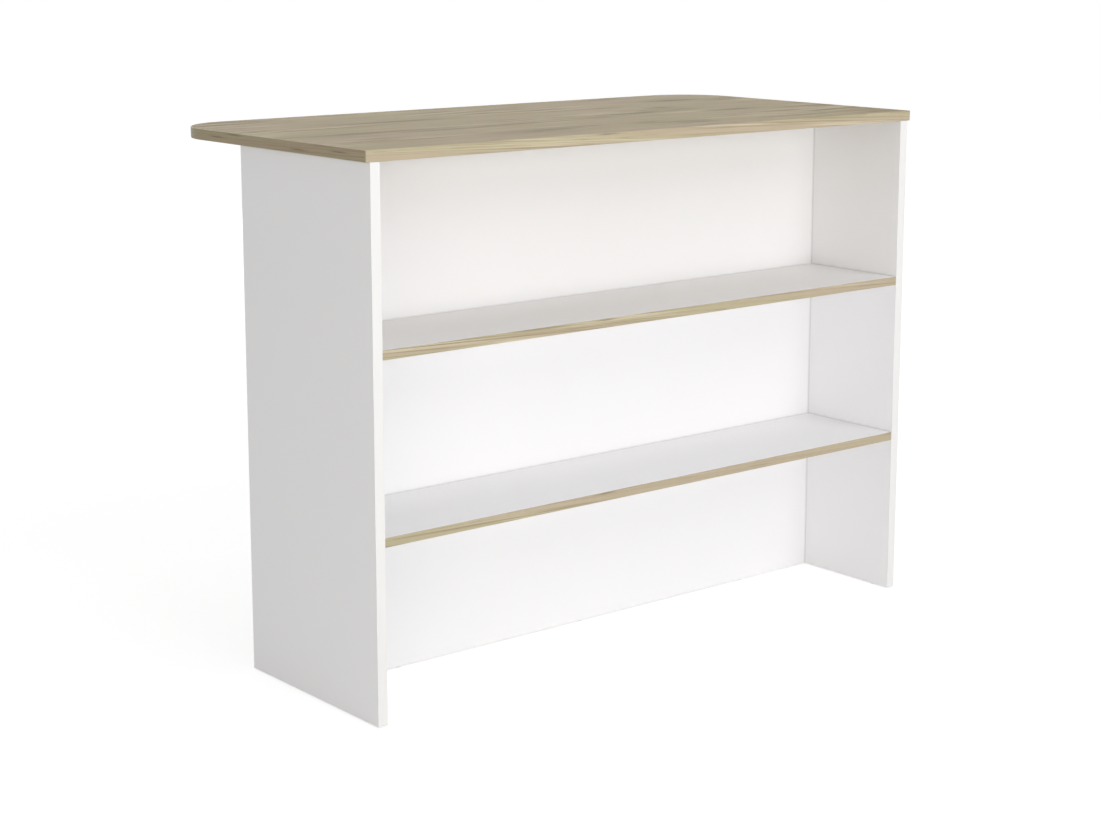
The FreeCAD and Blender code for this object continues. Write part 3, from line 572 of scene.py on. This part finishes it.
THREAD_PITCH = 2.4 * MM
THREAD_CREST = 0.55 * MM
STEM_RADIUS = 2.45 * MM
THREAD_ENDS = 0.6 * MM  # plain stem above the thread and below it
THREAD_STEPS = 20  # in one turn
THREAD_CORNERS = 3
RUN_OUT_START = 0.05  # the crest's height where the thread starts, as a share
RUN_OUT_RISE = 8.0  # full height is reached at about an eighth of the thread's length
SAME_PLACE = 1e-6  # metres between corners that are one


def loose_pieces(node):
    """The places of the corners of each separate piece in a node, in the same order each run."""
    joined = bmesh.new()
    joined.from_mesh(nodes[node].data)
    bmesh.ops.remove_doubles(joined, verts=joined.verts, dist=SAME_PLACE)
    reached = set()
    for first in joined.verts:
        if first in reached:
            continue
        reached.add(first)
        found = [first]
        for vertex in found:
            for edge in vertex.link_edges:
                beside = edge.other_vert(vertex)
                if beside not in reached:
                    reached.add(beside)
                    found.append(beside)
        yield [vertex.co.copy() for vertex in found]
    joined.free()


def axis_of(corners):
    """The middle of a straight piece, its direction and half its length."""
    low = Vector([min(corner[i] for corner in corners) for i in range(3)])
    high = Vector([max(corner[i] for corner in corners) for i in range(3)])
    half = (high - low) / 2
    direction = Vector([float(reach == max(half)) for reach in half])
    return (low + high) / 2, direction, max(half)


def stem_of(corners):
    """The point where a bolt enters the board, the way that its stem points and the stem's
    length. The collar, the widest ring, seats on the board and is nearer to the stem's end."""
    middle, direction, half = axis_of(corners)
    offsets = [corner - middle for corner in corners]
    widths = [offset.cross(direction).length for offset in offsets]
    collar = [offset.dot(direction) for offset, width in zip(offsets, widths)
              if width > max(widths) - SAME_PLACE]
    if sum(collar) < 0:
        direction, collar = -direction, [-level for level in collar]
    return middle + direction * max(collar), direction, half - max(collar)


class Pattern(Net):
    """A Geometry Nodes tree that puts one made piece at each point of a mesh, turned so that
    its Z axis follows the point's direction."""

    def __init__(self, name, material, sizes):
        super().__init__(bpy.data.node_groups.new(name, "GeometryNodeTree"))
        self.material, self.sizes = material, sizes
        sockets = self.tree.interface
        sockets.new_socket("Points", in_out="INPUT", socket_type="NodeSocketGeometry")
        for size, value in sizes.items():
            kind = "Int" if isinstance(value, int) else "Float"
            sockets.new_socket(size, in_out="INPUT", socket_type="NodeSocket" + kind)
        sockets.new_socket("Pieces", in_out="OUTPUT", socket_type="NodeSocketGeometry")
        self.given = self.tree.nodes.new("NodeGroupInput")

    def size(self, name):
        return Signal(self, self.given.outputs[name])

    def repeat(self, piece):
        """The rest of the tree, after the piece is made."""
        direction = self.node("GeometryNodeInputNamedAttribute", {"data_type": "FLOAT_VECTOR"},
                              {"Name": "direction"})
        turned = self.node("FunctionNodeAlignRotationToVector", {"axis": "Z"},
                           {"Vector": direction})
        placed = self.node("GeometryNodeInstanceOnPoints", {}, {
            "Points": self.size("Points"), "Instance": piece, "Rotation": turned})
        real = self.node("GeometryNodeRealizeInstances", {}, {"Geometry": placed})
        flat = self.node("GeometryNodeSetShadeSmooth", {}, {"Geometry": real,
                                                            "Shade Smooth": False})
        dressed = self.node("GeometryNodeSetMaterial", {}, {
            "Geometry": flat, "Material": self.material})
        self.node("NodeGroupOutput", {}, {"Pieces": dressed})

    def made_at(self, name, points, directions):
        """The pieces at all the points, as one plain mesh object."""
        mesh = bpy.data.meshes.new(name)
        mesh.from_pydata(points, [], [])
        attribute = mesh.attributes.new("direction", "FLOAT_VECTOR", "POINT")
        attribute.data.foreach_set("vector", [part for way in directions for part in way])
        obj = bpy.data.objects.new(name, mesh)
        scene.collection.objects.link(obj)
        modifier = obj.modifiers.new(name, "NODES")
        modifier.node_group = self.tree
        for socket in self.tree.interface.items_tree:
            if socket.name in self.sizes:
                modifier[socket.identifier] = self.sizes[socket.name]
        evaluated = obj.evaluated_get(bpy.context.evaluated_depsgraph_get())
        obj.data = bpy.data.meshes.new_from_object(evaluated)
        obj.modifiers.clear()
        return obj


stems = [stem_of(corners) for name in BOLT_NODES for corners in loose_pieces(name)]
thread = Pattern("coarse_thread", steel.material, {
    "Stem Radius": STEM_RADIUS, "Crest": THREAD_CREST, "Pitch": THREAD_PITCH,
    "Length": min(length for point, way, length in stems) - 2 * THREAD_ENDS})
radius = thread.size("Stem Radius")
length = thread.size("Length")
helix = thread.node("GeometryNodeCurveSpiral", {}, {
    "Resolution": THREAD_STEPS, "Rotations": length / thread.size("Pitch"),
    "Start Radius": radius, "End Radius": radius, "Height": length})
upright = thread.node("GeometryNodeSetCurveNormal", {"mode": "Z_UP"}, {"Curve": helix})
ridge = thread.node("GeometryNodeCurvePrimitiveCircle", {"mode": "RADIUS"},
                    {"Resolution": THREAD_CORNERS, "Radius": thread.size("Crest")})
way_along = thread.node("GeometryNodeSplineParameter")
from_end = way_along.lower_of(1.0 - way_along)
run_out = (from_end * RUN_OUT_RISE + RUN_OUT_START).lower_of(1.0)
thread.repeat(thread.node("GeometryNodeCurveToMesh", {}, {
    "Curve": upright, "Profile Curve": ridge, "Scale": run_out, "Fill Caps": True}))
threads = thread.made_at("cam_bolt_threads",
                         [point + way * THREAD_ENDS for point, way, length in stems],
                         [way for point, way, length in stems])
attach(threads, "counter")

# ---------------------------------------------------------------------------------------------
# Dowels: turned beech, nominally 8 by 30 mm, with pressed flutes that let the glue spread.
# They are chamfered at both ends and glued in one board of each joint.

BEECH_DARK = rgb(0.55, 0.38, 0.22)
BEECH_PALE = rgb(0.74, 0.56, 0.37)
BEECH_RELIEF = 0.08 * MM
BEECH_SCALE = Vector((900.0, 900.0, 90.0))  # finer across the rod, in X and Y, than along it

beech = Finish("beech", {"Specular IOR Level": 0.3})
local = beech.node("ShaderNodeAttribute", {"attribute_name": "in_the_wood"}, {}, "Vector")
fibre = beech.noise(beech.vector("MULTIPLY", local, BEECH_SCALE), 1.0, 3.0)
beech.feed(
    Base_Color=beech.mix(fibre, BEECH_DARK, BEECH_PALE),
    Roughness=0.62 + 0.15 * fibre,
    Normal=beech.bump(fibre, BEECH_RELIEF))

DOWEL_RADIUS = 3.95 * MM
DOWEL_CHAMFER = 1.0 * MM
FLUTES = 20
FLUTE_DEPTH = 0.3 * MM
SPINE_POINTS = 4  # both ends and where each chamfer starts
DOWEL_NODES = [board + "_dowels" for board in JOINTED_BOARDS]
rods = [axis_of(corners) for name in DOWEL_NODES for corners in loose_pieces(name)]
dowel = Pattern("fluted_dowel", beech.material, {
    "Radius": DOWEL_RADIUS, "Half Length": min(half for middle, way, half in rods),
    "Chamfer": DOWEL_CHAMFER, "Flutes": FLUTES, "Flute Depth": FLUTE_DEPTH})
radius = dowel.size("Radius")
chamfer = dowel.size("Chamfer")
section = dowel.node("GeometryNodeCurveStar", {}, {
    "Points": dowel.size("Flutes"), "Outer Radius": radius,
    "Inner Radius": radius - dowel.size("Flute Depth")})
line = dowel.node("GeometryNodeResampleCurve", {}, {
    "Curve": dowel.node("GeometryNodeCurvePrimitiveLine"), "Count": SPINE_POINTS})
from_middle = dowel.node("GeometryNodeInputIndex") - (SPINE_POINTS - 1) / 2
at_end = abs(from_middle) > 1.0
side = (from_middle > 0.0) * 2.0 - 1.0
level = side * (dowel.size("Half Length") - (1.0 - at_end) * chamfer)
spine = dowel.node("GeometryNodeSetPosition", {}, {
    "Geometry": line, "Position": dowel.node("ShaderNodeCombineXYZ", {}, {"Z": level})})
turned = dowel.node("GeometryNodeCurveToMesh", {}, {
    "Curve": spine, "Profile Curve": section, "Scale": 1.0 - at_end * (chamfer / radius),
    "Fill Caps": True})
dowel.repeat(dowel.node("GeometryNodeStoreNamedAttribute", {"data_type": "FLOAT_VECTOR"}, {
    "Geometry": turned, "Name": "in_the_wood", "Value": dowel.node("GeometryNodeInputPosition")}))
dowels = dowel.made_at("fluted_dowels", [middle for middle, way, half in rods],
                       [way for middle, way, half in rods])
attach(dowels, "counter")
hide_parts(*DOWEL_NODES)

# ---------------------------------------------------------------------------------------------
# Glides: white polyethylene pads, moulded round the heads of the nails that hold them. Two
# are driven into the lower edge of each side panel and three into that of the back panel.

PLASTIC_DIM = rgb(0.76, 0.76, 0.74)
PLASTIC_BRIGHT = rgb(0.83, 0.83, 0.81)
PLASTIC_RELIEF = 0.05 * MM
HAZE_SCALE = 300.0

glide_plastic = Finish("glide_plastic", {"Specular IOR Level": 0.4, "Subsurface Weight": 0.05})
haze = glide_plastic.noise(glide_plastic.place, HAZE_SCALE, 2.0)
glide_plastic.feed(
    Base_Color=glide_plastic.mix(haze, PLASTIC_DIM, PLASTIC_BRIGHT),
    Roughness=0.40 + 0.15 * haze,
    Normal=glide_plastic.bump(haze, PLASTIC_RELIEF))
glide_plastic.cover(*(nodes[name] for name in nodes if name.endswith("_glide")))
